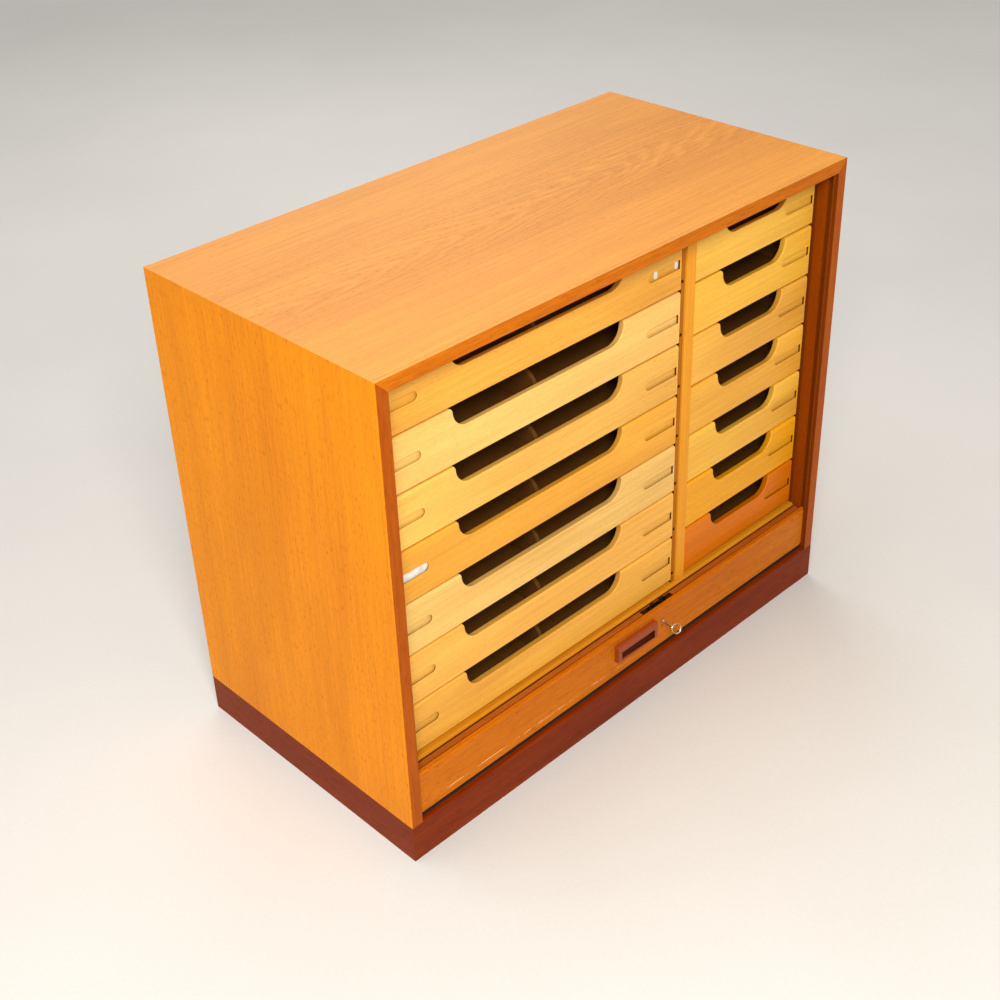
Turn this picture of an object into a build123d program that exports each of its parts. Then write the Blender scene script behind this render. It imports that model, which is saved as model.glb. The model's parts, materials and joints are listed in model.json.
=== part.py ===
from build123d import *
import math
import os

# Roll-front document cabinet: an oak-veneered case on a flush hardwood plinth, with seven wide and
# seven narrow drawers behind a roll-down slatted front. Millimetres, +Z up, front towards -Y.
# The origin is on the floor, in the middle of the front plinth board's underside. The front is
# modelled rolled down, so that only its leading lath shows above the plinth.

# ---- driving dimensions: case ----
overall_width = 858.0
overall_depth = 437.0
overall_height = 710.0
side_thickness = 17.8
top_thickness = 18.0
lipping_depth = 6.0
plinth_height = 58.0
plinth_thickness = 8.6
plinth_edge_radius = 3.0
side_floor_gap = 3.0
back_thickness = 6.0
back_recess = 1.0
back_rebate = 8.0
bottom_thickness = 8.0

# ---- driving dimensions: curtain track, slats and canvas ----
track_lip = 8.6
track_width = 6.0
track_depth = 5.5
track_bend_radius = 40.2
track_bend_width = 7.2
track_rear_wall = 6.4
track_rear_spare = 28.0
strip_end_gap = 3.0
slat_width = 13.6
slat_pitch = 14.0
slat_thickness = 5.2
slat_edge_bevel = 1.4
spare_slats = 2
first_slat_gap = 9.0
slat_end_gap = 1.0
canvas_thickness = 0.5
canvas_end_margin = 25.0

# ---- driving dimensions: leading lath ----
lath_thickness = 7.8
lath_height = 66.5
tongue_back_play = 0.2
lath_plinth_gap = 7.0
lath_corner_radius = 10.0
lath_edge_radius = 2.5
lath_side_gap = 2.0
lath_top_gap = 0.6
tongue_thickness = 5.2
strip_thickness = 10.0
strip_height = 40.0
strip_side_gap = 2.0

# ---- driving dimensions: pull, lock and key ----
pull_length = 84.0
pull_height = 27.5
pull_depth = 8.6
pull_center_offset = 6.0
pull_lath_top_gap = 11.0
pull_end_wall = 6.5
pull_bar_height = 10.5
pull_lower_lip = 3.4
pull_scoop_depth = 7.0
lock_pull_spacing = 20.0
lock_case_length = 60.0
lock_case_height = 36.0
lock_case_wall = 1.2
lock_case_depth = 8.4
forend_length = 66.0
forend_width = 8.4
forend_thickness = 1.8
hook_window_length = 40.0
hook_window_width = 4.0
hook_thickness = 2.4
hook_spread = 12.0
hook_pivot_drop = 3.3
hook_inner_radius = 5.6
hook_outer_radius = 10.2
hook_hub_radius = 3.2
hook_pin_radius = 1.3
hook_tip_angle = 100.0
hook_tail_angle = -55.0
hook_web_angle = -20.0
running_clearance = 0.1
keyhole_drop = 25.0
keyhole_radius = 3.1
keyhole_slot_width = 3.0
keyhole_slot_length = 12.0
key_shaft_radius = 2.0
key_shaft_length = 19.5
key_ring_radius = 7.2
key_wire_radius = 1.2
key_collar_radius = 2.8
key_collar_length = 2.0
key_tilt = 43.0
key_bit_height = 6.5
key_bit_width = 1.6
key_bit_length = 4.0
strike_length = 66.0
strike_width = 14.0
strike_thickness = 1.5
strike_window_length = 23.0
strike_window_width = 5.0
strike_mortise_depth = 7.5

# ---- driving dimensions: drawer unit ----
drawers_per_column = 7
drawer_top_gap = 7.5
drawer_gap = 5.0
drawer_front_setback = 34.0
drawer_front_thickness = 12.0
drawer_lath_gap = 8.5
stile_thickness = 18.4
narrow_column_width = 265.8
stile_proud = 2.0
runner_thickness = 8.5
runner_shadow_width = 2.3
runner_shadow_depth = 10.0
runner_top_gap = 1.0
runner_groove_depth = 4.5
runner_groove_height = 4.6
floor_thickness = 14.0
drawer_floor_gap = 13.0
rail_setback = 28.0
rail_thickness = 14.0
rail_height = 38.5
drawer_rail_gap = 6.5
rail_edge_radius = 4.0
case_back_thickness = 6.0
case_back_clearance = 4.0
front_left_gap = 1.6
front_right_gap = 1.0
front_side_gap = 4.5
front_edge_radius = 3.4
front_back_gap = 0.5
box_side_gap = 1.2
box_wall = 8.0
box_side_height = 44.0
box_back_gap = 10.0
bottom_lift = 8.0
bottom_panel_thickness = 4.0
bottom_panel_lip = 3.6
partition_thickness = 6.0
partition_nose_radius = 24.0
cutout_depth = 28.0
cutout_slope_run = 4.0
cutout_bottom_radius = 24.0
cutout_edge_radius = 1.2
cutout_back_drop = 4.0
wide_cutout_length = 298.0
narrow_cutout_length = 140.0
wide_cutout_shift = 3.5

# ---- driving dimensions: label slots and cards ----
label_length = 66.0
label_end_wall = 3.0
label_height = 13.0
label_lip = 1.0
label_undercut = 2.4
label_undercut_height = 17.0
card_thickness = 0.4
card_clearance = 0.5
card_length = 64.0
scrap_length = 6.0
scrap_height = 12.0
scrap_end_gaps = (4.0, 45.0)

# ---- driving dimensions: screws ----
screw_head_radius = 3.4
screw_head_height = 1.6
screw_shank_radius = 1.6
screw_length = 12.0
back_screws_per_side = 4
back_screws_across = 4

# ---- planes and positions that follow from them ----
left = -overall_width / 2
right = overall_width / 2
front = -plinth_thickness / 2
rear = front + overall_depth
inner_left = left + side_thickness
inner_right = right - side_thickness
top_underside = overall_height - top_thickness
back_front_face = rear - back_recess - back_thickness

track_front = front + track_lip
track_back = track_front + track_width
track_mid = (track_front + track_back) / 2
rear_track_mid = back_front_face - track_rear_wall - track_bend_width / 2
bend_height = plinth_height + lath_plinth_gap
canvas_radius = track_bend_radius - slat_thickness / 2
curtain_low = bend_height - track_bend_radius - track_bend_width / 2
bottom_low = (curtain_low - bottom_thickness) / 2

lath_back = track_back - tongue_back_play
lath_front = lath_back - lath_thickness
lath_bottom = plinth_height + lath_plinth_gap
lath_top = lath_bottom + lath_height
lath_travel = top_underside - lath_top_gap - lath_top
slat_count = math.ceil(lath_travel / slat_pitch) + spare_slats
strip_back = lath_back + strip_thickness
pull_left = pull_center_offset - pull_length / 2
lock_x = pull_left + pull_length + lock_pull_spacing
lock_y = lath_back + forend_width / 2
key_z = lath_top - keyhole_drop
hook_pivot_z = lath_top - hook_pivot_drop

lowest_drawer_height = lath_top + drawer_lath_gap
highest_drawer_top = top_underside - drawer_top_gap
drawer_pitch = (highest_drawer_top + drawer_gap - lowest_drawer_height) / drawers_per_column
floor_top = lowest_drawer_height - drawer_floor_gap
rail_top = lowest_drawer_height - drawer_rail_gap
drawer_face = front + drawer_front_setback
drawer_face_back = drawer_face + drawer_front_thickness
front_height = drawer_pitch - drawer_gap
stile_right = inner_right - narrow_column_width
stile_left = stile_right - stile_thickness
case_back_front = rear_track_mid - track_bend_width / 2 - case_back_clearance - case_back_thickness
box_rear = case_back_front - box_back_gap
columns = {
    "left": (inner_left, stile_left),
    "right": (stile_right, inner_right),
}


def block(x0, x1, y0, y1, z0, z1):
    """A plain board between two corners."""
    return Pos((x0 + x1) / 2, (y0 + y1) / 2, (z0 + z1) / 2) * Box(x1 - x0, y1 - y0, z1 - z0)


def along_x(sketch, x0, x1):
    """A section drawn in Y and Z, run from x0 to x1."""
    return extrude(Plane.YZ.offset(x0) * sketch, x1 - x0)


def along_y(sketch, y0, y1):
    """A section drawn in X and Z, run from y0 to y1."""
    return extrude(Plane.XZ.offset(-y1) * sketch, y1 - y0)


def polygon(*points):
    """A flat face with straight sides."""
    return make_face(Polyline(*points, close=True))


def rectangle(u0, u1, v0, v1):
    """A flat rectangle between two corners."""
    return Pos((u0 + u1) / 2, (v0 + v1) / 2) * Rectangle(u1 - u0, v1 - v0)


def save(name, *shapes):
    """Write one named piece, or one group of alike pieces."""
    solids = [solid for shape in shapes for solid in shape.solids()]
    export_step(solids[0] if len(solids) == 1 else Compound(solids), f"parts/{name}.step")


# ---- curtain track ----
def band_along_track(inner, outer, top_front, top_rear):
    """The curtain's route in Y and Z, as wide as the space between two distances from the bends'
    centres: down the front, round under the case and up the back."""
    front_center = track_mid + track_bend_radius
    rear_center = rear_track_mid - track_bend_radius
    bands = rectangle(front_center, rear_center, bend_height - outer, bend_height - inner)
    if top_front > bend_height:
        bands += rectangle(front_center - outer, front_center - inner, bend_height, top_front)
    bands += rectangle(rear_center + inner, rear_center + outer, bend_height, top_rear)
    for center, side in ((front_center, -1), (rear_center, 1)):
        ring = Circle(outer) - Circle(inner)
        quarter = ring & rectangle(min(0, side * outer), max(0, side * outer), -outer, 0)
        bands += Pos(center, bend_height) * quarter
    return bands


def track_groove(x0, x1):
    """The groove for the curtain's ends: narrow down the front, wider round the bends."""
    half = track_bend_width / 2
    run = band_along_track(
        track_bend_radius - half,
        track_bend_radius + half,
        bend_height + 1,
        canvas_end_height() + track_rear_spare,
    )
    upright = rectangle(track_front, track_back, bend_height, overall_height)
    return along_x(run + upright, x0, x1)


# ---- case ----
def back_screw_places():
    """Where the back panel's screws sit, as X and Z."""
    low = plinth_height + 20
    high = overall_height - top_thickness / 2
    step = (high - low) / back_screws_per_side
    inset = (side_thickness + back_rebate) / 2
    places = [
        (x, low + step * i)
        for x in (left + inset, right - inset)
        for i in range(back_screws_per_side)
    ]
    span = overall_width - 4 * side_thickness
    for i in range(back_screws_across):
        x = left + 2 * side_thickness + span * i / (back_screws_across - 1)
        places.append((x, overall_height - (top_thickness + back_rebate) / 2))
    return places


def screw():
    """A countersunk wood screw, its flat head at the origin and its shank towards +Z."""
    head = Cone(
        screw_head_radius,
        screw_shank_radius,
        screw_head_height,
        align=(Align.CENTER, Align.CENTER, Align.MIN),
    )
    shank = Pos(0, 0, screw_head_height) * Cylinder(
        screw_shank_radius,
        screw_length - screw_head_height,
        align=(Align.CENTER, Align.CENTER, Align.MIN),
    )
    slot = Box(screw_head_radius * 2, 0.8, 1.2)
    return head + shank, head + shank - slot


def back_screws(with_slots=True):
    """The screws that hold the back panel, driven towards the front."""
    kind = screw()[1] if with_slots else screw()[0]
    y = back_front_face + back_thickness
    return [Pos(x, y, z) * Rot(90, 0, 0) * kind for x, z in back_screw_places()]


def back_rebate_cut():
    """The open rebate round the back of the case."""
    return block(
        inner_left - back_rebate,
        inner_right + back_rebate,
        back_front_face,
        rear + 1,
        0,
        top_underside + back_rebate,
    )


def side_panel(side):
    """One side: mitred to the top, thinned behind the plinth, grooved for the curtain."""
    outer = right if side > 0 else left
    inner = outer - side * side_thickness
    behind_plinth = outer - side * plinth_thickness
    section = polygon(
        (outer, plinth_height),
        (outer, overall_height),
        (inner, top_underside),
        (inner, side_floor_gap),
        (behind_plinth, side_floor_gap),
        (behind_plinth, plinth_height),
    )
    panel = along_y(section, front + lipping_depth, rear)
    behind = block(
        min(behind_plinth, inner),
        max(behind_plinth, inner),
        front,
        front + plinth_thickness,
        0,
        plinth_height,
    )
    end_of_plinth_back = block(
        min(behind_plinth, inner),
        max(behind_plinth, inner),
        rear - plinth_thickness,
        rear,
        0,
        plinth_height,
    )
    groove = track_groove(*sorted((inner - side, inner + side * track_depth)))
    strip_seat = block(
        *sorted((inner - side, inner + side * track_depth)),
        track_back,
        drawer_face - stile_proud,
        bend_height + strip_end_gap,
        top_underside,
    )
    panel = panel - behind - end_of_plinth_back - groove - strip_seat - back_rebate_cut()
    for hole in back_screws(with_slots=False):
        panel -= hole
    return panel


def top_panel():
    """The top: mitred to both sides, with the strike plate's mortise in its underside."""
    section = polygon(
        (left, overall_height),
        (right, overall_height),
        (inner_right, top_underside),
        (inner_left, top_underside),
    )
    panel = along_y(section, front + lipping_depth, rear) - back_rebate_cut()
    panel -= strike_recess()
    for hole in back_screws(with_slots=False):
        panel -= hole
    return panel


def front_lippings():
    """Solid strips on the front edges of the top and sides, mitred at the corners."""
    top = polygon(
        (left, overall_height),
        (right, overall_height),
        (inner_right, top_underside),
        (inner_left, top_underside),
    )
    strips = [along_y(top, front, front + lipping_depth)]
    for outer, inner in ((left, inner_left), (right, inner_right)):
        upright = polygon(
            (outer, plinth_height), (outer, overall_height), (inner, top_underside), (inner, plinth_height)
        )
        strips.append(along_y(upright, front, front + lipping_depth))
    return strips


def plinth():
    """Four flush boards, mitred at the corners, with a rounded edge under the curtain's slot."""
    boards = []
    for y0, y1 in ((front, front + plinth_thickness), (rear, rear - plinth_thickness)):
        outline = polygon(
            (left, y0), (right, y0), (right - plinth_thickness, y1), (left + plinth_thickness, y1)
        )
        boards.append(extrude(outline, plinth_height))
    for x0, x1 in ((left, left + plinth_thickness), (right, right - plinth_thickness)):
        outline = polygon(
            (x0, front), (x0, rear), (x1, rear - plinth_thickness), (x1, front + plinth_thickness)
        )
        boards.append(extrude(outline, plinth_height))
    rounding = rectangle(front, front + plinth_edge_radius, plinth_height - plinth_edge_radius, plinth_height)
    center = (front + plinth_edge_radius, plinth_height - plinth_edge_radius)
    rounding -= Pos(*center) * Circle(plinth_edge_radius)
    boards[0] -= along_x(rounding, inner_left, inner_right)
    return boards


def bottom_board():
    """The thin board that closes the curtain's pocket from below."""
    return block(
        inner_left,
        inner_right,
        front + plinth_thickness,
        rear - plinth_thickness,
        bottom_low,
        bottom_low + bottom_thickness,
    )


def back_panel():
    """The outer back, set in the rebate and held with screws."""
    panel = block(
        inner_left - back_rebate,
        inner_right + back_rebate,
        back_front_face,
        back_front_face + back_thickness,
        plinth_height,
        top_underside + back_rebate,
    )
    for hole in back_screws(with_slots=False):
        panel -= hole
    return panel


def track_strips():
    """Hardwood strips let into the sides, which make the back wall of each upright groove."""
    low = bend_height + strip_end_gap
    y1 = drawer_face - stile_proud
    return [
        block(inner_left - track_depth, inner_left, track_back, y1, low, top_underside),
        block(inner_right, inner_right + track_depth, track_back, y1, low, top_underside),
    ]


# ---- leading lath, pull and lock ----
def keyhole(y0, y1):
    """A round hole for the key's shaft with a slot below it for the bit."""
    hole = Pos(lock_x, key_z) * Circle(keyhole_radius)
    half = keyhole_slot_width / 2
    hole += rectangle(lock_x - half, lock_x + half, key_z - keyhole_slot_length, key_z)
    return along_y(hole, y0, y1)


def lead_lath():
    """The leading lath's front board, thinned at the ends to run in the grooves."""
    x0 = inner_left - track_depth + lath_side_gap
    x1 = inner_right + track_depth - lath_side_gap
    face = rectangle(x0, x1, lath_bottom, lath_top)
    low_corners = face.vertices().group_by(Axis.Y)[0]
    face = fillet(low_corners, lath_corner_radius)
    board = along_y(face, lath_front, lath_back)
    top_front = board.edges().filter_by(Axis.X).group_by(Axis.Z)[-1].sort_by(Axis.Y)[0]
    low_front = board.edges().filter_by(Axis.X).group_by(Axis.Z)[0].sort_by(Axis.Y)[0]
    board = fillet([top_front, low_front], lath_edge_radius)
    rebate = lath_back - tongue_thickness
    for edge, far in ((inner_left, x0 - 1), (inner_right, x1 + 1)):
        reach = sorted((far, edge - math.copysign(lath_side_gap, far - edge)))
        board -= block(*reach, lath_front - 1, rebate, lath_bottom - 1, lath_top + 1)
    return board - keyhole(lath_front - 1, lath_back + 1)


def lock_mortise():
    """The space for the lock case and its fore-end in the lath's back strip."""
    y1 = lath_back + lock_case_depth
    half = lock_case_length / 2
    pocket = block(lock_x - half, lock_x + half, lath_back, y1, lath_top - lock_case_height, lath_top)
    half = forend_length / 2
    y1 = lath_back + forend_width
    return pocket + block(lock_x - half, lock_x + half, lath_back, y1, lath_top - forend_thickness, lath_top)


def lath_back_strip():
    """The strip behind the lath, which clamps the canvas and holds the lock."""
    x0 = inner_left + strip_side_gap
    x1 = inner_right - strip_side_gap
    strip = block(x0, x1, lath_back, strip_back, lath_top - strip_height, lath_top)
    return strip - lock_mortise()


def pull_handle():
    """A hardwood pull: a rounded bar with a scooped finger recess under it."""
    x0 = pull_left
    x1 = x0 + pull_length
    z1 = lath_top - pull_lath_top_gap
    z0 = z1 - pull_height
    y0 = lath_front - pull_depth
    pull = block(x0, x1, y0, lath_front, z0, z1)
    pull = fillet(pull.edges().filter_by(Axis.X).group_by(Axis.Y)[0], 3.0)
    pull = fillet(pull.faces().sort_by(Axis.Y)[0].edges().filter_by(Axis.Z), 1.2)
    low = z0 + pull_lower_lip
    high = z1 - pull_bar_height
    section = rectangle(y0 - 1, y0 + pull_scoop_depth, low, high)
    deep = section.vertices().group_by(Axis.X)[-1]
    section = fillet(deep, 4.0)
    scoop = along_x(section, x0 + pull_end_wall, x1 - pull_end_wall)
    return pull - scoop


def lock_case():
    """The lock's steel box, open at the top under its fore-end plate."""
    half = lock_case_length / 2
    z0 = lath_top - lock_case_height
    z1 = lath_top - forend_thickness
    y1 = lath_back + lock_case_depth
    wall = lock_case_wall
    case = block(lock_x - half, lock_x + half, lath_back, y1, z0, z1)
    case -= block(
        lock_x - half + wall, lock_x + half - wall, lath_back + wall, y1 - wall, z0 + wall, z1 + 1
    )
    return case - keyhole(lath_back - 1, lath_back + lock_case_depth / 2)


def lock_forend():
    """The lock's top plate, with a window for the two hooks."""
    half = forend_length / 2
    y1 = lath_back + forend_width
    plate = block(lock_x - half, lock_x + half, lath_back, y1, lath_top - forend_thickness, lath_top)
    window = Pos(lock_x, lock_y, lath_top) * Box(hook_window_length, hook_window_width, 10)
    return plate - window


def hook(side):
    """One curved hook, thrown out of the fore-end: a ring segment on a hub that turns on its pin."""
    ring = Circle(hook_outer_radius) - Circle(hook_inner_radius)
    reach = 3 * hook_outer_radius

    def wedge(start, end):
        angles = [math.radians(start + (end - start) * i / 4) for i in range(5)]
        rim = [(reach * math.cos(a), reach * math.sin(a)) for a in angles]
        return polygon((0, 0), *rim)

    beak = ring & wedge(hook_tail_angle, hook_tip_angle)
    web = Circle(hook_outer_radius) & wedge(hook_tail_angle, hook_web_angle)
    shape = beak + web + Circle(hook_hub_radius) - Circle(hook_pin_radius + running_clearance)
    if side > 0:
        shape = mirror(shape, Plane.YZ)
    placed = Pos(lock_x + side * hook_spread, hook_pivot_z) * shape
    half = hook_thickness / 2
    return along_y(placed, lock_y - half, lock_y + half)


def hook_pins():
    """The pins across the lock case that the hooks turn on."""
    y0 = lath_back + lock_case_wall
    y1 = lath_back + lock_case_depth - lock_case_wall
    pins = []
    for side in (-1, 1):
        spot = Pos(lock_x + side * hook_spread, hook_pivot_z)
        pins.append(along_y(spot * Circle(hook_pin_radius), y0, y1))
    return pins


def key():
    """A steel key with a ring bow, partly turned in the lock."""
    inner_end = lock_y - hook_thickness / 2 - 0.6
    shaft_front = lath_front - key_shaft_length
    shaft = along_y(Circle(key_shaft_radius), shaft_front, inner_end)
    collar_y = lath_front - running_clearance - key_collar_length
    shaft += along_y(Circle(key_collar_radius), collar_y, collar_y + key_collar_length)
    bit_start = lath_back + lock_case_wall + running_clearance
    bit = rectangle(-key_bit_width / 2, key_bit_width / 2, -key_bit_height, 0)
    shaft += along_y(bit, bit_start, inner_end)
    ring_center = shaft_front - key_ring_radius + key_wire_radius / 2
    bow = Pos(0, ring_center, 0) * Rot(0, 90, 0) * Torus(key_ring_radius, key_wire_radius)
    turned = Rot(0, key_tilt, 0) * (bow + shaft)
    return Pos(lock_x, 0, key_z) * turned


def strike_recess():
    """The mortise over the strike plate, deep enough for the thrown hooks."""
    plate = block(
        lock_x - strike_length / 2,
        lock_x + strike_length / 2,
        lock_y - strike_width / 2,
        lock_y + strike_width / 2,
        top_underside,
        top_underside + strike_thickness,
    )
    reach = hook_spread + hook_outer_radius + 3
    mortise = block(
        lock_x - reach,
        lock_x + reach,
        lock_y - strike_window_width / 2,
        lock_y + strike_window_width / 2,
        top_underside,
        top_underside + strike_mortise_depth + strike_thickness,
    )
    cut = plate + mortise
    for spot in strike_screw_places():
        cut += spot * screw()[0]
    return cut


def strike_screw_places():
    """Where the strike plate's two screws sit, driven upwards."""
    offset = strike_length / 2 - 5
    return [Pos(lock_x + side * offset, lock_y, top_underside) for side in (-1, 1)]


def strike_plate():
    """The plate in the top's underside that the hooks catch behind."""
    plate = Pos(lock_x, lock_y, top_underside + strike_thickness / 2) * Box(
        strike_length, strike_width, strike_thickness
    )
    plate -= Pos(lock_x, lock_y, top_underside) * Box(strike_window_length, strike_window_width, 10)
    for spot in strike_screw_places():
        plate -= spot * screw()[0]
    return plate


# ---- stowed curtain ----
def point_on_track(distance):
    """A point on the canvas and the angle of its outward side, the given distance on from the
    lath's lower edge."""
    front_center = track_mid + track_bend_radius
    rear_center = rear_track_mid - track_bend_radius
    radius = canvas_radius
    quarter = math.pi / 2 * radius
    straight = rear_center - front_center
    if distance < quarter:
        angle = math.pi + distance / radius
        return front_center + radius * math.cos(angle), bend_height + radius * math.sin(angle), angle
    distance -= quarter
    if distance < straight:
        return front_center + distance, bend_height - radius, 1.5 * math.pi
    distance -= straight
    if distance < quarter:
        angle = 1.5 * math.pi + distance / radius
        return rear_center + radius * math.cos(angle), bend_height + radius * math.sin(angle), angle
    distance -= quarter
    return rear_center + radius, bend_height + distance, 2 * math.pi


def slat_section():
    """One slat's section, its glued back at v = 0 and its bevelled face outwards."""
    half = slat_width / 2
    bevel = slat_edge_bevel
    return polygon(
        (-half, 0),
        (half, 0),
        (half, slat_thickness - bevel),
        (half - bevel, slat_thickness),
        (-half + bevel, slat_thickness),
        (-half, slat_thickness - bevel),
    )


def tambour_slats():
    """The slats, stowed round the track below and behind the drawers."""
    x0 = inner_left - track_depth + slat_end_gap
    x1 = inner_right + track_depth - slat_end_gap
    slats = []
    for i in range(slat_count):
        y, z, angle = point_on_track(first_slat_gap + slat_pitch * (i + 0.5))
        turn = math.degrees(angle) - 90
        slats.append(along_x(Pos(y, z) * Rot(0, 0, turn) * slat_section(), x0, x1))
    return slats


def tambour_canvas():
    """The canvas glued to the backs of the slats."""
    sheet = band_along_track(
        canvas_radius - canvas_thickness, canvas_radius, bend_height, canvas_end_height()
    )
    return along_x(sheet, inner_left + canvas_end_margin, inner_right - canvas_end_margin)


def canvas_end_height():
    """How far up the back the stowed canvas reaches."""
    return point_on_track(first_slat_gap + slat_pitch * slat_count)[1]


# ---- drawer unit ----
def drawer_bottom_edge(row):
    """The height of a drawer front's bottom edge, row 1 being the highest."""
    return lowest_drawer_height + drawer_pitch * (drawers_per_column - row)


def runner_panel(x0, x1, inner_side, y0, with_shadow):
    """A grooved panel beside the drawers. inner_side is +1 where the drawers lie towards +X."""
    z0 = floor_top
    z1 = top_underside - runner_top_gap
    panel = block(x0, x1, y0, case_back_front, z0, z1)
    groove_x = (x1 - runner_groove_depth, x1 + 1) if inner_side > 0 else (x0 - 1, x0 + runner_groove_depth)
    slack = (runner_groove_height - bottom_panel_thickness) / 2
    for row in range(1, drawers_per_column + 1):
        low = drawer_bottom_edge(row) + bottom_lift - slack
        panel -= block(*groove_x, y0 - 1, box_rear + 2, low, low + runner_groove_height)
    if with_shadow:
        panel -= block(x1 - runner_shadow_width, x1 + 1, y0 - 1, y0 + runner_shadow_depth, z0 - 1, z1 + 1)
    rail_back = front + rail_setback + rail_thickness
    return panel - block(x0 - 1, x1 + 1, front, rail_back, z0 - 1, rail_top)


def runner_panels(column):
    """The two runner panels of a column, which end behind the drawer fronts, apart from the one
    beside the stile, which shows in front."""
    x0, x1 = columns[column]
    behind = drawer_face_back + front_back_gap
    left_one = runner_panel(x0, x0 + runner_thickness, 1, behind, False)
    beside_stile = column == "left"
    y0 = drawer_face if beside_stile else behind
    return left_one, runner_panel(x1 - runner_thickness, x1, -1, y0, beside_stile)


def centre_stile():
    """The board between the two columns, a little proud of the drawer fronts."""
    y0 = drawer_face - stile_proud
    rail_back = front + rail_setback + rail_thickness
    board = block(stile_left, stile_right, y0, case_back_front, floor_top, top_underside)
    return board - block(stile_left - 1, stile_right + 1, y0 - 1, rail_back, floor_top - 1, rail_top)


def lower_rail():
    """The rail below the drawers, with its front edge rounded over."""
    y0 = front + rail_setback
    rail = block(inner_left, inner_right, y0, y0 + rail_thickness, rail_top - rail_height, rail_top)
    edge = rail.edges().filter_by(Axis.X).group_by(Axis.Z)[-1].sort_by(Axis.Y)[0]
    return fillet(edge, rail_edge_radius)


def case_floor():
    """The drawer unit's floor."""
    y0 = front + rail_setback + rail_thickness
    return block(inner_left, inner_right, y0, case_back_front, floor_top - floor_thickness, floor_top)


def case_back():
    """The drawer unit's own back, in front of the curtain's rear pocket."""
    low = floor_top - floor_thickness
    y1 = case_back_front + case_back_thickness
    return block(inner_left, inner_right, case_back_front, y1, low, top_underside)


def label_slot(x_edge, inward, z_mid):
    """A slot for a label card near one end of the front, undercut behind its lips."""
    slots = []
    for height, y0, y1 in (
        (label_height, drawer_face - 1, drawer_face + label_lip),
        (label_undercut_height, drawer_face + label_lip, drawer_face + label_lip + label_undercut),
    ):
        radius = height / 2
        round_end = x_edge + inward * (label_length - label_height / 2)
        straight_end = x_edge + inward * label_end_wall
        shape = rectangle(*sorted((straight_end, round_end)), z_mid - radius, z_mid + radius)
        shape += Pos(round_end, z_mid) * Circle(radius)
        slots.append(along_y(shape, y0, y1))
    return slots[0] + slots[1]


def front_edges(column):
    """The left and right ends of a column's drawer fronts."""
    x0, x1 = columns[column]
    if column == "right":
        return x0 + front_left_gap, x1 - front_side_gap
    return x0 + front_left_gap, x1 - runner_thickness - front_right_gap


def cutout_ends(column):
    """The left and right ends of a column's finger cut-outs."""
    x0, x1 = front_edges(column)
    mid = (x0 + x1) / 2
    if column == "right":
        return mid - narrow_cutout_length / 2, mid + narrow_cutout_length / 2
    mid += wide_cutout_shift
    return mid - wide_cutout_length / 2, mid + wide_cutout_length / 2


def drawer_front(column, row):
    """A drawer front with a finger cut-out, rounded upper edges and label slots."""
    x0, x1 = front_edges(column)
    z0 = drawer_bottom_edge(row)
    z1 = z0 + front_height
    a, b = cutout_ends(column)
    low = z1 - cutout_depth
    run = cutout_slope_run
    board = block(x0, x1, drawer_face, drawer_face_back, z0, z1)
    upper = board.edges().filter_by(Axis.X).group_by(Axis.Z)[-1]
    board = fillet(upper, front_edge_radius)
    sections = []
    for y in (drawer_face - 1, drawer_face_back + 1):
        grow = cutout_back_drop * (y - drawer_face) / drawer_front_thickness
        outline = polygon(
            (a - grow, z1 + 1), (a + run - grow, low - grow), (b - run + grow, low - grow), (b + grow, z1 + 1)
        )
        outline = fillet(outline.vertices().group_by(Axis.Y)[0], cutout_bottom_radius)
        sections.append(Plane.XZ.offset(-y) * outline)
    board -= loft(sections, ruled=True)
    rim = [
        edge
        for edge in board.edges()
        if low - 1 < edge.center().Z < z1 - 0.5
        and a - 1 < edge.center().X < b + 1
        and edge.center().Y < drawer_face + 1
        and edge.bounding_box().size.Y < 0.01
    ]
    board = fillet(rim, cutout_edge_radius)
    z_mid = (z0 + z1) / 2
    if column == "left":
        board -= label_slot(x0, 1, z_mid)
    return board - label_slot(x1, -1, z_mid)


def box_span(column):
    """The outer faces of a column's drawer sides."""
    x0, x1 = columns[column]
    inset = runner_thickness + box_side_gap
    return x0 + inset, x1 - inset


def drawer_box(column, row):
    """A drawer's bottom, sides and back, and the partition of a wide drawer."""
    x0, x1 = box_span(column)
    z0 = drawer_bottom_edge(row) + bottom_lift
    z1 = z0 + bottom_panel_thickness
    z2 = z1 + box_side_height
    lip = box_side_gap + bottom_panel_lip
    pieces = [block(x0 - lip, x1 + lip, drawer_face_back, box_rear, z0, z1)]
    pieces.append(block(x0, x0 + box_wall, drawer_face_back, box_rear, z1, z2))
    pieces.append(block(x1 - box_wall, x1, drawer_face_back, box_rear, z1, z2))
    pieces.append(block(x0 + box_wall, x1 - box_wall, box_rear - box_wall, box_rear, z1, z2))
    if column == "left":
        mid = (x0 + x1) / 2
        half = partition_thickness / 2
        side = rectangle(drawer_face_back, box_rear - box_wall, z1, z2)
        nose = side.vertices().group_by(Axis.Y)[-1].sort_by(Axis.X)[0]
        side = fillet(nose, partition_nose_radius)
        pieces.append(along_x(side, mid - half, mid + half))
    return pieces


def paper(x0, x1, height, column, row):
    """A flat piece of card against the back of a label slot."""
    z_mid = drawer_bottom_edge(row) + front_height / 2
    y1 = drawer_face + label_lip + label_undercut
    return block(x0, x1, y1 - card_thickness, y1, z_mid - height / 2, z_mid + height / 2)


def label_card(column, row):
    """A whole card, which fills the left label slot."""
    x0 = front_edges(column)[0] + label_end_wall + card_clearance
    height = label_undercut_height - 2 * card_clearance
    card = paper(x0, x0 + card_length, height, column, row)
    blind = card.edges().filter_by(Axis.Y).group_by(Axis.X)[-1]
    return fillet(blind, height / 2 - card_clearance)


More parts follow.
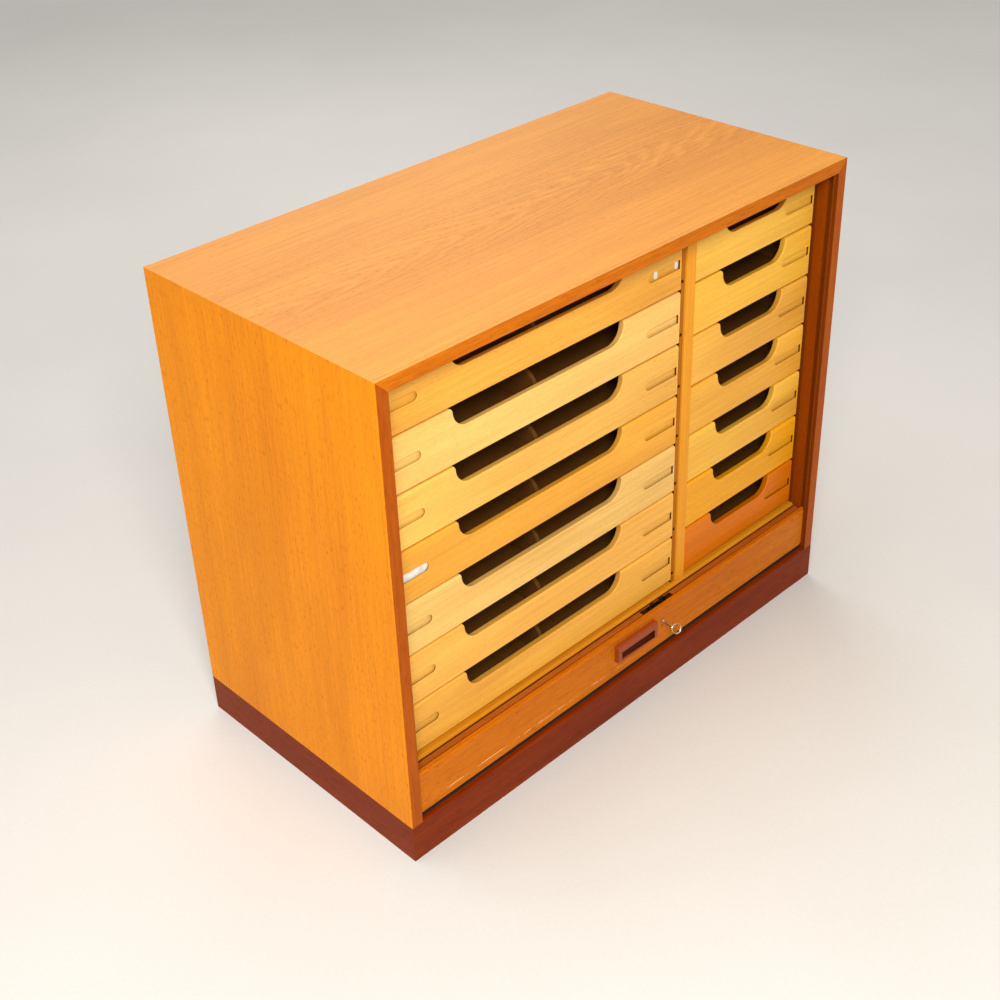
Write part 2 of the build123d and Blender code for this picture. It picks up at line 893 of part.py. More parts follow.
def label_scraps(column, row):
    """What is left of a torn card in the right label slot."""
    x1 = front_edges(column)[1]
    scraps = []
    for gap in scrap_end_gaps:
        scrap = paper(x1 - gap - scrap_length, x1 - gap, scrap_height, column, row)
        scraps.append(fillet(scrap.edges().filter_by(Axis.Y), scrap_length / 3))
    return scraps


os.makedirs("parts", exist_ok=True)

save("top_panel", top_panel())
save("left_side_panel", side_panel(-1))
save("right_side_panel", side_panel(1))
save("front_lippings", *front_lippings())
save("plinth_boards", *plinth())
save("bottom_board", bottom_board())
save("back_panel", back_panel())
save("back_screws", *back_screws())
save("track_strips", *track_strips())
save("strike_plate", strike_plate())
save("strike_screws", *[spot * screw()[1] for spot in strike_screw_places()])

save("tambour_slats", *tambour_slats())
save("tambour_canvas", tambour_canvas())

save("left_runner_panels", *runner_panels("left"))
save("right_runner_panels", *runner_panels("right"))
save("centre_stile", centre_stile())
save("lower_rail", lower_rail())
save("case_floor", case_floor())
save("case_back", case_back())

save("lead_lath", lead_lath())
save("lath_back_strip", lath_back_strip())
save("pull_handle", pull_handle())
save("lock_case", lock_case())
save("lock_forend", lock_forend())
save("hook_pins", *hook_pins())
save("left_hook", hook(-1))
save("right_hook", hook(1))
save("key", key())

for column in columns:
    for row in range(1, drawers_per_column + 1):
        save(f"{column}_drawer_{row}_front", drawer_front(column, row))
        save(f"{column}_drawer_{row}_box", *drawer_box(column, row))
save("left_drawer_4_card", label_card("left", 4))
save("left_drawer_1_card", *label_scraps("left", 1))
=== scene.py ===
"""Looks for the roll-front document cabinet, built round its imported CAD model.

Metres, +Z up, front towards -Y.
"""

import json
import math
import random

import bmesh
import bpy
from mathutils import Matrix, Vector
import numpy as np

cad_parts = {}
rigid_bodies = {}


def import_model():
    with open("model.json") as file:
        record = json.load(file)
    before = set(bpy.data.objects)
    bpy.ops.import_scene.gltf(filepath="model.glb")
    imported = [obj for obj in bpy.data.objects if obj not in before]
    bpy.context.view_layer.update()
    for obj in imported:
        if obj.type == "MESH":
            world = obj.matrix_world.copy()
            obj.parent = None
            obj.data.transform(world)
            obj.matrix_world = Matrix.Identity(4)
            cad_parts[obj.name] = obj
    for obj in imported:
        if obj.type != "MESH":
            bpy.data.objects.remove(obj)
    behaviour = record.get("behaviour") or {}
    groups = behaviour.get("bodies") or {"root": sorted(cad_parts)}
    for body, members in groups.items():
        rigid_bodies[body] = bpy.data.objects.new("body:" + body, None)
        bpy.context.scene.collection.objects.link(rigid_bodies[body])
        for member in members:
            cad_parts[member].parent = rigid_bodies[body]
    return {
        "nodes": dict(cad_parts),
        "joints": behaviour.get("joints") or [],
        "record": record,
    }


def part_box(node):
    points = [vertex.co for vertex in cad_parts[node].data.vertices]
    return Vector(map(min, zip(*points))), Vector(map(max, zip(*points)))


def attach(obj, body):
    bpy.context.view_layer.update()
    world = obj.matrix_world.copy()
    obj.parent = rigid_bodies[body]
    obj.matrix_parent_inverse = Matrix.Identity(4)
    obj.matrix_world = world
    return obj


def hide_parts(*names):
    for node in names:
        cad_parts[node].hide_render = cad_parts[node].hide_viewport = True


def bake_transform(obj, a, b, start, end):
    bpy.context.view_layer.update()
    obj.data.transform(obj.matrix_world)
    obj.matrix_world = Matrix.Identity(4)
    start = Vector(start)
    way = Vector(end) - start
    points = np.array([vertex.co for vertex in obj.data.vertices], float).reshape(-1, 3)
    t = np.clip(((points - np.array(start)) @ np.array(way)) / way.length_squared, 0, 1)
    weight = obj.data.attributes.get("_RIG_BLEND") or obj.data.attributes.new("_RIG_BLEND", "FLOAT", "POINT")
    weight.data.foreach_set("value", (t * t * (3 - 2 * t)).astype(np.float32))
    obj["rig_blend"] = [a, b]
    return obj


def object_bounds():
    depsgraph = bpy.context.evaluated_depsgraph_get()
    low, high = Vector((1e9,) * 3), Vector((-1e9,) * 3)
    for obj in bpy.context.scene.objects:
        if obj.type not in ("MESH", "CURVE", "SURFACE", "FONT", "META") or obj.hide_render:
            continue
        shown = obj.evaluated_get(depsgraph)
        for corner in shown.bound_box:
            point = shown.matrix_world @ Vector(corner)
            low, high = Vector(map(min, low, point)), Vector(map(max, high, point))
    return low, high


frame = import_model()
cad_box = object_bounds()
nodes = frame["nodes"]
body_of_node = {n: b for b, ns in frame["record"]["behaviour"]["bodies"].items() for n in ns}
rows = range(1, 8)


# ---- small helpers ----
def tone(r, g, b):
    """An 8-bit display colour as linear RGBA."""
    def channel(v):
        v /= 255
        return v / 12.92 if v <= 0.04045 else ((v + 0.055) / 1.055) ** 2.4

    return (channel(r), channel(g), channel(b), 1.0)


class Shader:
    """A new material and short ways to add nodes to it."""

    def __init__(self, name):
        self.material = bpy.data.materials.new(name)
        self.material.use_nodes = True
        self.tree = self.material.node_tree
        self.tree.nodes.clear()
        self.out = self.tree.nodes.new("ShaderNodeOutputMaterial")
        self.bsdf = self.tree.nodes.new("ShaderNodeBsdfPrincipled")
        self.link(self.bsdf.outputs[0], self.out.inputs[0])
        self.object = self.tree.nodes.new("ShaderNodeTexCoord").outputs["Object"]

    def link(self, a, b):
        self.tree.links.new(a, b)

    def put(self, value, socket):
        if hasattr(value, "is_linked"):
            self.link(value, socket)
        else:
            socket.default_value = value

    def maths(self, operation, a, b=0.0, c=0.0, clamp=False):
        n = self.tree.nodes.new("ShaderNodeMath")
        n.operation, n.use_clamp = operation, clamp
        for value, socket in zip((a, b, c), n.inputs):
            self.put(value, socket)
        return n.outputs[0]

    def split(self, vector):
        n = self.tree.nodes.new("ShaderNodeSeparateXYZ")
        self.put(vector, n.inputs[0])
        return n.outputs

    def join(self, x, y, z):
        n = self.tree.nodes.new("ShaderNodeCombineXYZ")
        for value, socket in zip((x, y, z), n.inputs):
            self.put(value, socket)
        return n.outputs[0]

    def noise(self, vector, scale, detail, roughness, distortion=0.0):
        n = self.tree.nodes.new("ShaderNodeMapping")
        self.put(vector, n.inputs["Vector"])
        n.inputs["Scale"].default_value = scale
        t = self.tree.nodes.new("ShaderNodeTexNoise")
        self.link(n.outputs[0], t.inputs["Vector"])
        t.inputs["Scale"].default_value = 1.0
        t.inputs["Detail"].default_value = detail
        t.inputs["Roughness"].default_value = roughness
        t.inputs["Distortion"].default_value = distortion
        return t.outputs[0]

    def ramp(self, value, low, high, out_low=0.0, out_high=1.0):
        n = self.tree.nodes.new("ShaderNodeMapRange")
        n.interpolation_type = "SMOOTHSTEP"
        for v, socket in zip((value, low, high, out_low, out_high), n.inputs):
            self.put(v, socket)
        return n.outputs[0]

    def mix(self, share, a, b):
        n = self.tree.nodes.new("ShaderNodeMix")
        n.data_type, n.blend_type = "RGBA", "MIX"
        self.put(share, n.inputs[0])
        self.put(a, n.inputs[6])
        self.put(b, n.inputs[7])
        return n.outputs[2]

    def bump(self, height, strength, distance):
        n = self.tree.nodes.new("ShaderNodeBump")
        n.inputs["Strength"].default_value = strength
        n.inputs["Distance"].default_value = distance
        self.put(height, n.inputs["Height"])
        self.link(n.outputs[0], self.bsdf.inputs["Normal"])


# ---- materials ----
GRAIN = {"x": (0, 1, 2), "y": (1, 0, 2), "z": (2, 0, 1)}  # axes along, across and through the grain
RING_GAP = 0.0045
PORE_SHADE = (0.55, 0.3612, 0.18)  # a pore's colour as shares of the wood's


def wood(
    name,
    along,
    mid,
    *,
    seed,
    contrast,
    pores,
    pore_length=0.012,
    pore_width=0.0011,
    rings=0.0,
    heart=(0.0, 0.0),
    ring_depth=0.03,
    taper=0.05,
    mottle=0.5,
    rough=(0.36, 0.52),
    shine=0.1,
    extra=None,
):
    """Wood with its grain along one axis: broad bands of tone, slanting growth rings, streaks and pores."""
    s = Shader(name)
    axes = s.split(s.object)
    u, v, w = (axes[i] for i in GRAIN[along])
    rnd = random.Random(seed)
    shift = [rnd.uniform(-5, 5) for _ in range(3)]
    board = s.join(
        s.maths("ADD", u, shift[0]), s.maths("ADD", v, shift[1]), s.maths("ADD", w, shift[2])
    )
    broad = s.noise(board, (1.6, 9, 9), 2.0, 0.55, 0.4)
    drift = s.noise(board, (3.5, 22, 22), 2.0, 0.5)
    streak = s.noise(board, (6, 260, 260), 3.0, 0.6)
    fine = s.noise(board, (22, 900, 900), 2.0, 0.6)
    pore = s.noise(board, (1 / pore_length, 1 / pore_width, 1 / pore_width), 2.0, 0.55)
    tone_value = s.maths("MULTIPLY_ADD", s.maths("SUBTRACT", broad, 0.5), 1.5 * mottle, 0.5)
    tone_value = s.maths(
        "MULTIPLY_ADD", s.maths("SUBTRACT", streak, 0.5), 0.95 * contrast, tone_value
    )
    tone_value = s.maths("MULTIPLY_ADD", s.maths("SUBTRACT", fine, 0.5), 0.45 * contrast, tone_value)
    early = 1.0
    if rings:
        wander = s.maths("MULTIPLY", s.maths("SUBTRACT", drift, 0.5), 0.03)
        across = s.maths("ADD", s.maths("SUBTRACT", v, heart[1]), wander)
        depth = s.maths("MULTIPLY_ADD", s.maths("SUBTRACT", u, heart[0]), taper, ring_depth)
        depth = s.maths("ADD", depth, s.maths("MULTIPLY", s.maths("SUBTRACT", broad, 0.5), 0.035))
        radius = s.maths(
            "SQRT", s.maths("ADD", s.maths("MULTIPLY", across, across), s.maths("MULTIPLY", depth, depth))
        )
        turn = s.maths("FRACT", s.maths("DIVIDE", radius, RING_GAP))
        early = s.maths(
            "MULTIPLY", s.ramp(turn, 0.0, 0.25), s.ramp(turn, 0.55, 1.0, 1.0, 0.0)
        )
        near = s.ramp(s.maths("ABSOLUTE", across), 0.03, 0.16, 1.0, 0.25)
        early = s.maths("MULTIPLY", early, near)
        tone_value = s.maths("MULTIPLY_ADD", early, -0.42 * rings, tone_value)
    tone_value = s.maths("ADD", tone_value, 0.0, clamp=True)
    dark = tuple(c * k for c, k in zip(mid[:3], (0.80 - 0.1 * contrast, 0.68 - 0.1 * contrast, 0.5)))
    light = tuple(min(1.0, c * k) for c, k in zip(mid[:3], (1.16, 1.24, 1.45)))
    colour = s.mix(tone_value, dark + (1.0,), light + (1.0,))
    dash = s.ramp(pore, 0.56, 0.70)
    if rings:
        dash = s.maths("MULTIPLY", dash, s.maths("MULTIPLY_ADD", early, 0.75, 0.25))
    dash = s.maths("MULTIPLY", dash, pores)
    pore_colour = tuple(c * k for c, k in zip(mid[:3], PORE_SHADE)) + (1.0,)
    colour = s.mix(dash, colour, pore_colour)
    if extra:
        colour = extra(s, axes, colour)
    s.link(colour, s.bsdf.inputs["Base Color"])
    gloss = s.maths("MULTIPLY_ADD", streak, rough[1] - rough[0], rough[0])
    s.link(s.maths("MULTIPLY_ADD", dash, 0.25, gloss), s.bsdf.inputs["Roughness"])
    height = s.maths("MULTIPLY_ADD", dash, -1.0, s.maths("MULTIPLY", fine, 0.35))
    s.bump(height, 0.35, 0.0004)
    s.bsdf.inputs["Specular IOR Level"].default_value = shine
    return s.material


def metal(name, colour, rough, tarnish, tarnish_colour):
    """Worn metal with a blotchy film and fine scratches."""
    s = Shader(name)
    blotch = s.noise(s.object, (180, 180, 180), 4.0, 0.6)
    scratch = s.noise(s.object, (900, 900, 90), 2.0, 0.6)
    share = s.maths("MULTIPLY", s.ramp(blotch, 0.42, 0.68), tarnish)
    s.link(s.mix(share, colour, tarnish_colour), s.bsdf.inputs["Base Color"])
    s.bsdf.inputs["Metallic"].default_value = 1.0
    wear = s.maths("MULTIPLY_ADD", share, 0.25, rough)
    s.link(s.maths("MULTIPLY_ADD", scratch, 0.1, wear), s.bsdf.inputs["Roughness"])
    s.bump(scratch, 0.15, 0.0002)
    return s.material


def paper():
    """White card with faint fibres and a yellowed edge."""
    s = Shader("paper")
    fibre = s.noise(s.object, (700, 700, 2200), 3.0, 0.6)
    stain = s.noise(s.object, (60, 60, 60), 2.0, 0.5)
    colour = s.mix(s.ramp(stain, 0.4, 0.75), tone(240, 238, 234), tone(214, 200, 180))
    s.link(s.mix(s.maths("MULTIPLY", fibre, 0.12), colour, tone(170, 160, 145)), s.bsdf.inputs["Base Color"])
    s.bsdf.inputs["Roughness"].default_value = 0.8
    s.bump(fibre, 0.2, 0.0002)
    return s.material


def canvas():
    """Dark canvas: a plain weave of threads."""
    s = Shader("canvas")
    x, y, z = s.split(s.object)
    warp = s.maths("SINE", s.maths("MULTIPLY", x, 5200.0))
    weft = s.maths("SINE", s.maths("MULTIPLY", s.maths("ADD", y, z), 5200.0))
    weave = s.maths("MULTIPLY_ADD", s.maths("MULTIPLY", warp, weft), 0.5, 0.5)
    slub = s.noise(s.object, (900, 900, 900), 2.0, 0.5)
    colour = s.mix(weave, tone(30, 22, 16), tone(48, 36, 26))
    s.link(s.mix(s.maths("MULTIPLY", slub, 0.4), colour, tone(20, 14, 10)), s.bsdf.inputs["Base Color"])
    s.bsdf.inputs["Roughness"].default_value = 0.9
    s.bump(weave, 0.4, 0.0003)
    return s.material


def give(node, material, others=()):
    """Put one material on a piece, and others on the faces that their tests pick by the face's middle."""
    data = node.data
    data.materials.clear()
    data.materials.append(material)
    for other, _ in others:
        data.materials.append(other)
    for polygon in data.polygons:
        polygon.material_index = 0
        for i, (_, test) in enumerate(others):
            if test(polygon.center):
                polygon.material_index = i + 1


# ---- new pieces that stand for sharp-edged CAD boards ----
CRISP_DEGREES = 35.0  # edges that turn more than this are shaded crisp
EASED_DEGREES = 28  # edges that turn more than this are rounded
FLAT_DEGREES = 0.6  # faces that turn less than this are joined first


def new_piece(name, mesh, body):
    """A mesh, already in the row frame, as a piece that rides on a body."""
    piece = bpy.data.objects.new(name, mesh)
    bpy.context.scene.collection.objects.link(piece)
    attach(piece, body)
    return piece


def shade(mesh):
    """Smooth faces, with the sharp edges kept crisp."""
    mesh.polygons.foreach_set("use_smooth", [True] * len(mesh.polygons))
    mesh.set_sharp_from_angle(angle=math.radians(CRISP_DEGREES))


def soften(node, width):
    """A copy of a CAD node with its sharp edges slightly rounded, as sanded wood has them."""
    mesh = nodes[node].data.copy()
    mesh.name = f"{node}_eased"
    bm = bmesh.new()
    bm.from_mesh(mesh)
    bmesh.ops.remove_doubles(bm, verts=bm.verts, dist=1e-6)
    bmesh.ops.dissolve_limit(
        bm, angle_limit=math.radians(FLAT_DEGREES), use_dissolve_boundaries=False,
        verts=bm.verts, edges=bm.edges,
    )
    sharp = [
        e for e in bm.edges
        if len(e.link_faces) == 2 and e.calc_face_angle(0.0) > math.radians(EASED_DEGREES)
    ]
    bmesh.ops.bevel(
        bm, geom=sharp, offset=width, offset_type="OFFSET", segments=2, profile=0.5,
        affect="EDGES", clamp_overlap=True,
    )
    bm.to_mesh(mesh)
    bm.free()
    for name in [a.name for a in mesh.attributes if "custom_normal" in a.name]:
        mesh.attributes.remove(mesh.attributes[name])
    shade(mesh)
    piece = new_piece(f"{node}_eased", mesh, body_of_node[node])
    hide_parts(node)
    weighted = piece.modifiers.new("even_faces", "WEIGHTED_NORMAL")
    weighted.keep_sharp = True
    return piece


def curtain():
    """The curtain as it is seen when the front is closed.

    With the front down it lies folded small behind the plinth board, from 22.5 to 12.5 mm below the lath's
    lower edge, and overlaps the stowed slats out of sight. As the lath rises it draws out into slats.
    When the front is closed a gap of about 12.5 mm is left between the lath and the first slat.
    """
    slide = next(j for j in frame["joints"] if j["name"] == "rolling_front_slide")
    travel = 0.5599  # the whole range of rolling_front_slide
    lath_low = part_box("lead_lath")[0].z
    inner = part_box("lower_rail")
    x0, x1 = inner[0].x + 0.0002, inner[1].x - 0.0002
    start, end = lath_low - 0.0225, lath_low - 0.0125  # where the blend begins and ends, at rest
    span = end - start
    pitch, slat, thick, bevel = 0.014, 0.0136, 0.0040, 0.0012
    y_face = 0.0062

    def place(final):
        """The height at rest of a point that is at a given height when the front is closed."""
        low, high = 0.0, 1.0
        for _ in range(60):  # halvings, far past the precision of a float
            t = (low + high) / 2
            reach = start + span * t + travel * (t * t * (3 - 2 * t))
            low, high = (t, high) if reach < final else (low, t)
        return start + span * (low + high) / 2

    top = end + travel
    count = int((top - start) / pitch)
    bm = bmesh.new()
    for i in range(count):
        z1 = top - pitch * i - (pitch - slat) / 2
        z0 = z1 - slat
        section = [
            (y_face + thick, z0), (y_face + thick, z1), (y_face + bevel, z1), (y_face, z1 - bevel),
            (y_face, z0 + bevel), (y_face + bevel, z0),
        ]
        ends = [[bm.verts.new((x, y, place(z))) for y, z in section] for x in (x0, x1)]
        bm.faces.new(ends[0])
        bm.faces.new(list(reversed(ends[1])))
        for k in range(6):
            m = (k + 1) % 6
            bm.faces.new((ends[0][m], ends[0][k], ends[1][k], ends[1][m]))
    bmesh.ops.recalc_face_normals(bm, faces=bm.faces)
    mesh = bpy.data.meshes.new("rolling_curtain")
    bm.to_mesh(mesh)
    bm.free()
    piece = bpy.data.objects.new("rolling_curtain", mesh)
    bpy.context.scene.collection.objects.link(piece)
    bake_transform(piece, slide["parent"], slide["child"], start=(0, 0, start), end=(0, 0, end))
    return piece


# ---- floor, light and camera ----
def studio():
    """A plain pale floor, a key light at the front left, a weaker one behind, a soft sun and the camera."""
    mesh = bpy.data.meshes.new("floor")
    size = 12.0
    corners = [(-size, -size, 0), (size, -size, 0), (size, size, 0), (-size, size, 0)]
    mesh.from_pydata(corners, [], [(0, 1, 2, 3)])
    floor = bpy.data.objects.new("floor", mesh)
    bpy.context.scene.collection.objects.link(floor)
    s = Shader("floor_pale")
    cloud = s.noise(s.object, (1.3, 1.3, 1.3), 4.0, 0.55)
    grit = s.noise(s.object, (160, 160, 160), 2.0, 0.6)
    colour = s.mix(cloud, tone(206, 203, 198), tone(222, 219, 214))
    s.link(s.mix(s.maths("MULTIPLY", grit, 0.12), colour, tone(150, 146, 138)), s.bsdf.inputs["Base Color"])
    s.bsdf.inputs["Roughness"].default_value = 0.75
    s.bump(grit, 0.1, 0.0005)
    mesh.materials.append(s.material)

    world = bpy.data.worlds.new("studio")
    bpy.context.scene.world = world
    world.use_nodes = True
    background = world.node_tree.nodes["Background"]
    background.inputs["Color"].default_value = (1.0, 0.99, 0.97, 1.0)
    background.inputs["Strength"].default_value = 0.42

    lo, hi = cad_box
    aim = (lo + hi) / 2 + Vector((0, 0, 0.1))
    for name, spot, size, power, colour in (
        ("key", (-1.40, -1.35, 2.0), 0.9, 72.0, (1.0, 0.97, 0.92)),
        ("back", (1.3, 2.2, 2.2), 2.2, 20.0, (1.0, 0.98, 0.95)),
    ):
        light = bpy.data.lights.new(name, "AREA")
        light.shape = "DISK"
        light.size = size
        light.energy = power
        light.color = colour
        lamp = bpy.data.objects.new(name, light)
        lamp.location = spot
        lamp.rotation_mode = "QUATERNION"
        lamp.rotation_quaternion = (aim - Vector(spot)).to_track_quat("-Z", "Y")
        bpy.context.scene.collection.objects.link(lamp)

    sun = bpy.data.lights.new("overhead", "SUN")
    sun.energy = 0.9
    sun.angle = math.radians(50)
    lamp = bpy.data.objects.new("overhead", sun)
    lamp.rotation_mode = "QUATERNION"
    lamp.rotation_quaternion = Vector((0.25, -0.35, -1.0)).to_track_quat("-Z", "Y")
    bpy.context.scene.collection.objects.link(lamp)

    camera = bpy.data.cameras.new("camera")
    camera.sensor_width = 36.0
    camera.lens = 54.26
    camera.shift_x, camera.shift_y = 0.0174, -0.0444
    camera.clip_start, camera.clip_end = 0.05, 60.0
    turned, down, roll = math.radians(42.765), math.radians(31.908), math.radians(-2.506)
    level = math.cos(down)
    ahead = Vector((math.sin(turned) * level, math.cos(turned) * level, -math.sin(down)))
    side = Vector((math.cos(turned), -math.sin(turned), 0))
    up = side.cross(ahead)
    side, up = (
        side * math.cos(roll) + up * math.sin(roll),
        up * math.cos(roll) - side * math.sin(roll),
    )
    eye = bpy.data.objects.new("camera", camera)
    eye.matrix_world = Matrix.Translation((-1.2878, -1.0948, 1.4769)) @ Matrix(
        (
            (side.x, up.x, -ahead.x, 0),
            (side.y, up.y, -ahead.y, 0),
            (side.z, up.z, -ahead.z, 0),
            (0, 0, 0, 1),
        )
    )
    bpy.context.scene.collection.objects.link(eye)
    bpy.context.scene.camera = eye
    view = bpy.context.scene.view_settings
    view.view_transform = "Standard"
    view.look = "None"


studio()

lath_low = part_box("lead_lath")[0].z


def lath_wear(s, axes, colour):
    """Pale rubbed dashes along the lower left of the lath, where it rubs as it moves."""
    x, _, z = axes
    height = s.maths("SUBTRACT", z, lath_low)
    band = s.maths("MULTIPLY", s.ramp(height, 0.0122, 0.0128), s.ramp(height, 0.0138, 0.0146, 1.0, 0.0))
    place = s.join(x, 0.0, z)
    dash = s.ramp(s.noise(place, (60, 1, 300), 3.0, 0.65), 0.49, 0.56)
    left_half = s.ramp(x, -0.05, 0.02, 1.0, 0.0)
    share = s.maths("MULTIPLY", s.maths("MULTIPLY", band, dash), s.maths("MULTIPLY", left_half, 0.75))
    return s.mix(share, colour, tone(250, 186, 128))


def glue_line(s, axes, colour):
    """The dark edge of the canvas that is clamped between the lath and its back strip."""
    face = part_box("lath_back_strip")[0].y
    edge = s.ramp(axes[1], face + 0.0007, face + 0.0011, 1.0, 0.0)
    return s.mix(edge, colour, tone(52, 22, 6))


def slot_edges(name):
    """Wood tone that turns dark down the walls of a front's label slots: painted shade in the recess."""
    lo_front, hi_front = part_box(name)
    middle = (lo_front.z + hi_front.z) / 2
    face = lo_front.y
    from_end, half_length, half_height, blur = 0.0355, 0.0338, 0.0090, 0.0004  # of a slot

    def slot_wall_shade(s, axes, colour):
        x, y, z = axes
        depth = s.maths(
            "MULTIPLY", s.ramp(y, face + 0.0002, face + 0.0008),
            s.ramp(y, face + 0.0030, face + 0.0034, 1.0, 0.0),
        )
        near = s.ramp(
            s.maths("ABSOLUTE", s.maths("SUBTRACT", z, middle)),
            half_height, half_height + blur, 1.0, 0.0,
        )
        ends = s.ramp(
            s.maths(
                "MINIMUM", s.maths("ABSOLUTE", s.maths("SUBTRACT", x, lo_front.x + from_end)),
                s.maths("ABSOLUTE", s.maths("SUBTRACT", x, hi_front.x - from_end)),
            ),
            half_length, half_length + blur, 1.0, 0.0,
        )
        share = s.maths("MULTIPLY", s.maths("MULTIPLY", depth, near), ends)
        # tone(58, 24, 4) is the painted shade on the slot walls
        return s.mix(share, colour, tone(58, 24, 4))

    return slot_wall_shade


oak = dict(contrast=0.95, pores=0.95, pore_length=0.011, pore_width=0.0009, rings=0.35, mottle=0.3)
side = dict(contrast=0.9, pores=0.7, mottle=0.7)
lipping = dict(contrast=1.3, pores=0.75, pore_length=0.025)
plinth = dict(contrast=1.5, pores=0.8, pore_length=0.02, mottle=1.0)
materials = {
    "top": wood(
        "oak_top", "x", tone(223, 148, 52), seed=3, heart=(-0.5, 0.215), ring_depth=0.02, taper=0.075,
        shine=0.25, **oak,
    ),
    "side_left": wood("oak_side_left", "z", tone(235, 141, 1), seed=5, **side),
    "side_right": wood("oak_side_right", "z", tone(235, 141, 1), seed=6, **side),
    "side_inner": wood("oak_side_inner", "z", tone(112, 48, 6), seed=7, contrast=0.6, pores=0.35),
    "lipping_x": wood("oak_lipping_long", "x", tone(202, 108, 1), seed=8, **lipping),
    "lipping_z": wood("oak_lipping", "z", tone(171, 80, 0), seed=10, **lipping),
    "plinth_x": wood("plinth_long", "x", tone(131, 46, 0), seed=9, **plinth),
    "plinth_y": wood("plinth_across", "y", tone(131, 46, 0), seed=11, **plinth),
    "lath": wood(
        "oak_lath", "x", tone(201, 109, 7), seed=12, contrast=1.1, pores=0.65, mottle=0.7, extra=lath_wear
    ),
    "strip": wood(
        "oak_strip", "x", tone(168, 88, 24), seed=13, contrast=1.2, pores=0.6, extra=glue_line
    ),
    "slats": wood("oak_slats", "x", tone(220, 124, 24), seed=14, contrast=1.1, pores=0.5, mottle=1.0),
    "track": wood("track_wood", "z", tone(131, 57, 0), seed=15, contrast=0.8, pores=0.5),
    "pull": wood(
        "pull_wood", "x", tone(150, 64, 22), seed=16, contrast=0.9, pores=0.3, rough=(0.24, 0.36),
        shine=0.35,
    ),
    # darker wood for the hollow behind the pull's bar: painted shade
    "pull_recess_shade": wood("pull_recess_shade", "x", tone(74, 26, 8), seed=25, contrast=0.9, pores=0.3),
    "case_x": wood("case_wood_long", "x", tone(206, 132, 22), seed=17, contrast=0.6, pores=0.2),
    "case_z": wood("case_wood_upright", "z", tone(233, 156, 40), seed=18, contrast=0.6, pores=0.2),
    "runner": wood("runner_wood", "z", tone(175, 99, 3), seed=19, contrast=0.6, pores=0.2),
    # the drawer boxes are toned dark brown as painted shade seen through the cut-outs
    "box": wood("drawer_box_wood", "y", tone(92, 58, 22), seed=20, contrast=0.8, pores=0.25),
    # dark wood for faces that sit in shade: painted shade, not the wood's own tone
    "painted_shade_wood": wood("case_painted_shade", "y", tone(70, 36, 10), seed=23, contrast=0.6, pores=0.2),
    "ply": wood("plain_ply", "x", tone(196, 158, 104), seed=21, contrast=0.9, pores=0.2, mottle=0.9),
    "back": wood("back_ply", "z", tone(186, 120, 54), seed=22, contrast=1.0, pores=0.35, mottle=0.9),
    "steel": metal("dark_steel", tone(70, 50, 36), 0.42, 0.8, tone(38, 24, 16)),
    "nickel": metal("nickel", tone(224, 214, 200), 0.2, 0.3, tone(160, 140, 112)),
    "brass": metal("brass", tone(206, 170, 96), 0.3, 0.6, tone(120, 88, 48)),
    "paper": paper(),
    "canvas": canvas(),
}
node_material = {
    "top_panel": "top", "left_side_panel": "side_left", "right_side_panel": "side_right",
    "front_lippings": "lipping_z", "plinth_boards": "plinth_x", "bottom_board": "ply",
    "back_panel": "back", "back_screws": "brass", "track_strips": "track", "strike_plate": "steel",
    "strike_screws": "steel", "tambour_slats": "slats", "tambour_canvas": "canvas",
    "left_runner_panels": "runner", "right_runner_panels": "runner", "centre_stile": "case_z",
    "lower_rail": "case_x", "case_floor": "case_x", "case_back": "ply", "lead_lath": "lath",
    "lath_back_strip": "strip", "pull_handle": "pull", "lock_case": "steel", "lock_forend": "steel",
    "hook_pins": "steel", "left_hook": "steel", "right_hook": "steel", "key": "nickel",
    "left_drawer_4_card": "paper", "left_drawer_1_card": "paper",
}
front_tones = {  # from the top drawer down
    "left": [
        (238, 172, 63), (244, 186, 96), (240, 182, 81), (234, 165, 53), (245, 196, 106),
        (237, 174, 73), (238, 175, 68),
    ],
    "right": [
        (246, 187, 69), (245, 182, 59), (242, 177, 66), (243, 175, 60), (248, 184, 64),
        (242, 166, 24), (217, 115, 1),
    ],
}
for column, tones in front_tones.items():
    for row in rows:
        name = f"{column}_drawer_{row}_front"
        materials[name] = wood(
            name, "x", tone(*tones[row - 1]), seed=100 + row + (20 if column == "right" else 0),
            contrast=0.75, pores=0.3, pore_length=0.006, pore_width=0.0009, mottle=0.9,
            rough=(0.3, 0.44), shine=0.2, extra=slot_edges(name),
        )
        node_material[name] = name
        # the boxes take the dark box wood, which is painted shade
        node_material[f"{column}_drawer_{row}_box"] = "box"

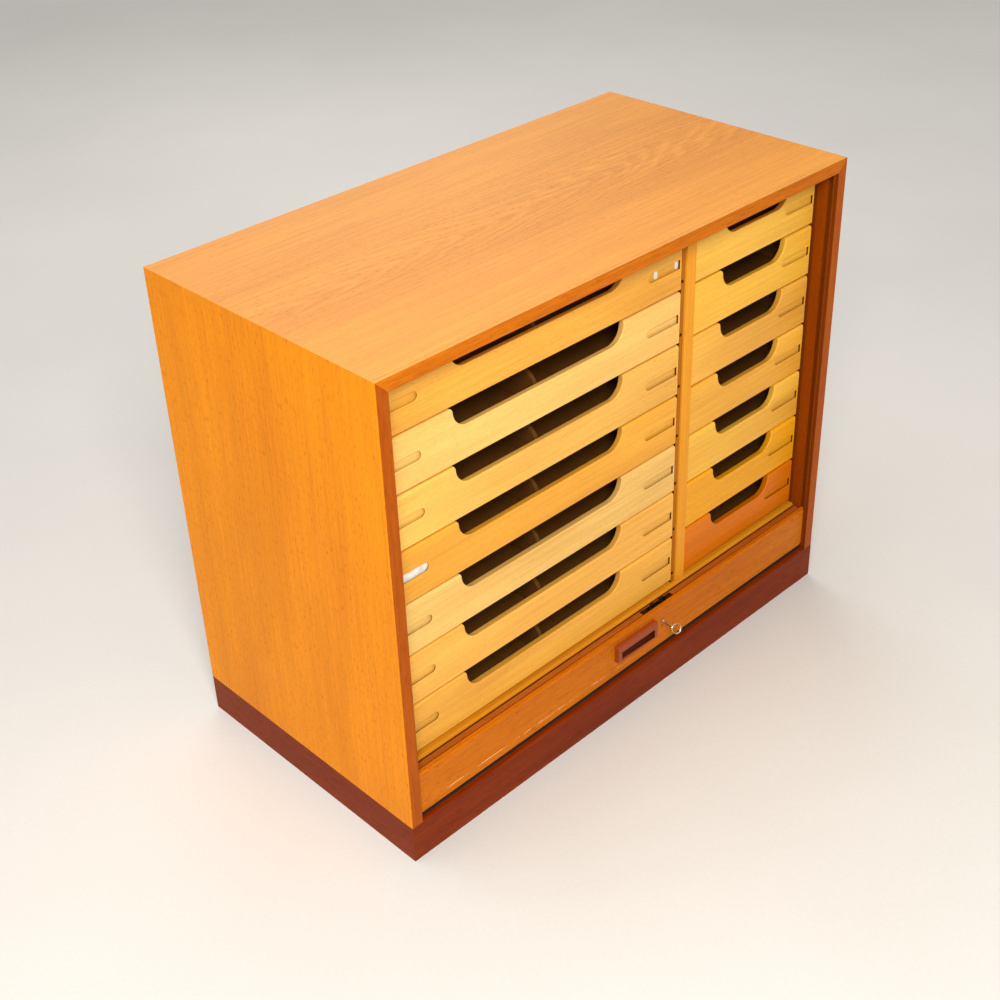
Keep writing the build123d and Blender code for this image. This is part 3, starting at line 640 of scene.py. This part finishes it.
eased = {  # width of the rounding of each piece's edges
    "top_panel": 0.0006, "left_side_panel": 0.0006, "right_side_panel": 0.0006, "front_lippings": 0.0005,
    "plinth_boards": 0.0006, "bottom_board": 0.0005, "back_panel": 0.0006, "track_strips": 0.0004,
    "left_runner_panels": 0.0004, "right_runner_panels": 0.0004, "centre_stile": 0.0008,
    "lower_rail": 0.0004, "case_floor": 0.0004, "case_back": 0.0004, "lead_lath": 0.0004,
    "lath_back_strip": 0.00025, "lock_forend": 0.0002, "lock_case": 0.0002, "strike_plate": 0.0002,
}
for column in front_tones:
    for row in rows:
        eased[f"{column}_drawer_{row}_box"] = 0.0007
low, high = cad_box
side_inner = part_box("lower_rail")[1].x
rail_face, rail_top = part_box("lower_rail")[0].y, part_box("lower_rail")[1].z
drawer_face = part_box("left_drawer_1_front")[0].y
pull_low, pull_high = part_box("pull_handle")
skin = 0.0004  # a face with its middle this near a plane counts as lying on it
side_board = 0.0118  # part of a side panel's thickness, past which a face is on its inner side


def in_top(p):
    """Whether a place on a mitred board belongs to the top one."""
    return p.z - high.z > abs(p.x) - high.x + 0.00001


others = {
    "front_lippings": [
        ("lipping_x", in_top),
        ("top", lambda p: p.z > high.z - skin),
        ("side_left", lambda p: p.x < low.x + skin),
        ("side_right", lambda p: p.x > high.x - skin),
        ("side_inner", lambda p: abs(p.x) < side_inner + skin and not in_top(p)),
    ],
    "plinth_boards": [("plinth_y", lambda p: abs(p.x) > high.x - 0.0084)],
    # the rail's front face below its rounding gets painted shade
    "lower_rail": [("painted_shade_wood", lambda p: p.y < rail_face + 0.0002 and p.z < rail_top - 0.005)],
    # runner panel faces behind the drawer fronts get painted shade
    "left_runner_panels": [("painted_shade_wood", lambda p: p.y > drawer_face + 0.0006)],
    "right_runner_panels": [("painted_shade_wood", lambda p: p.y > drawer_face + 0.0006)],
    # slat faces in the gap under the lath take the dark canvas colour: painted shade in the gap
    "tambour_slats": [("canvas", lambda p: p.z > lath_low - 0.0115 and p.y < 0.013)],
    "pull_handle": [
        # faces in the hollow behind the bar take painted shade
        (
            "pull_recess_shade",
            lambda p: pull_low.x + 0.004 < p.x < pull_high.x - 0.004
            and pull_low.y + 0.0012 < p.y < pull_high.y - skin
            and pull_low.z + 0.003 < p.z < pull_high.z - 0.009,
        )
    ],
    "left_side_panel": [("side_inner", lambda p: p.x > low.x + side_board)],
    "right_side_panel": [("side_inner", lambda p: p.x < high.x - side_board)],
}
for name, cad in nodes.items():
    material = materials[node_material[name]]
    picks = [(materials[key], test) for key, test in others.get(name, ())]
    if name in eased:
        give(soften(name, eased[name]), material, picks)
    else:
        give(cad, material, picks)
give(curtain(), materials["slats"])
